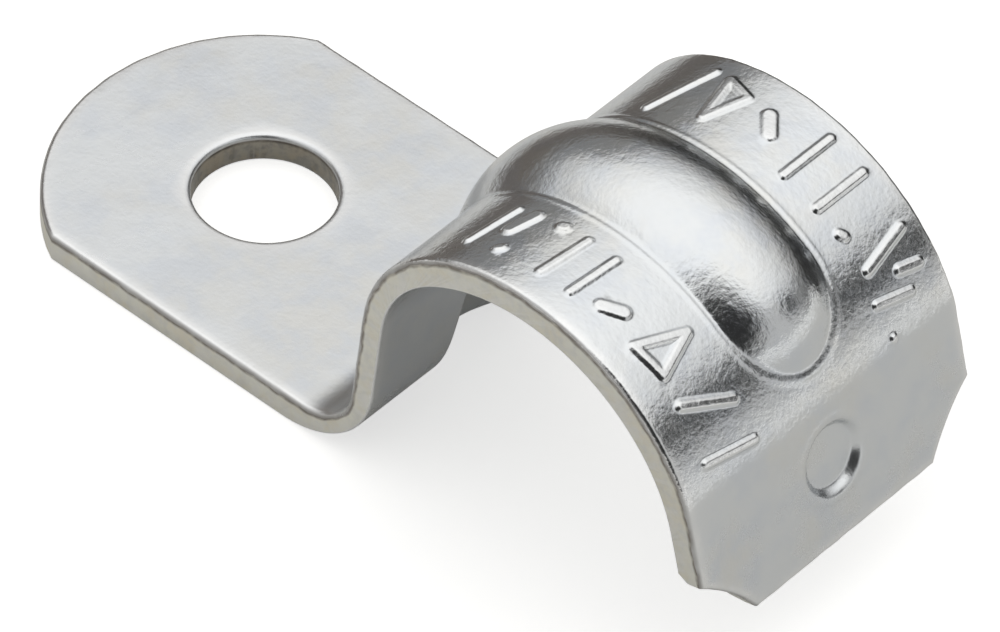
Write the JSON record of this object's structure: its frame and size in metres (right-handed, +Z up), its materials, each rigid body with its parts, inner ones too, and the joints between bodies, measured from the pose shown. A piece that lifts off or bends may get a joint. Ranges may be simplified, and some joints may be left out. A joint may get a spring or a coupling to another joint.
{
  "type": "conduit strap",
  "caption": "Pressed steel strap that clamps a rigid conduit against a surface: flat foot with a screw hole, ribbed saddle and a free tail.",
  "frame": {"origin": "where the axis of the fixing screw's hole meets the mounting surface, under the foot", "axes": "+X from the foot towards the saddle and tail, +Y along the conduit, +Z up from the mounting surface"},
  "size_m": [0.0653, 0.0262, 0.0264],
  "materials": {
    "zinc_plate": "bright zinc plating on steel, smooth and slightly grained"
  },
  "bodies": {
    "root": {"strap": "zinc_plate"}
  },
  "joints": []
}
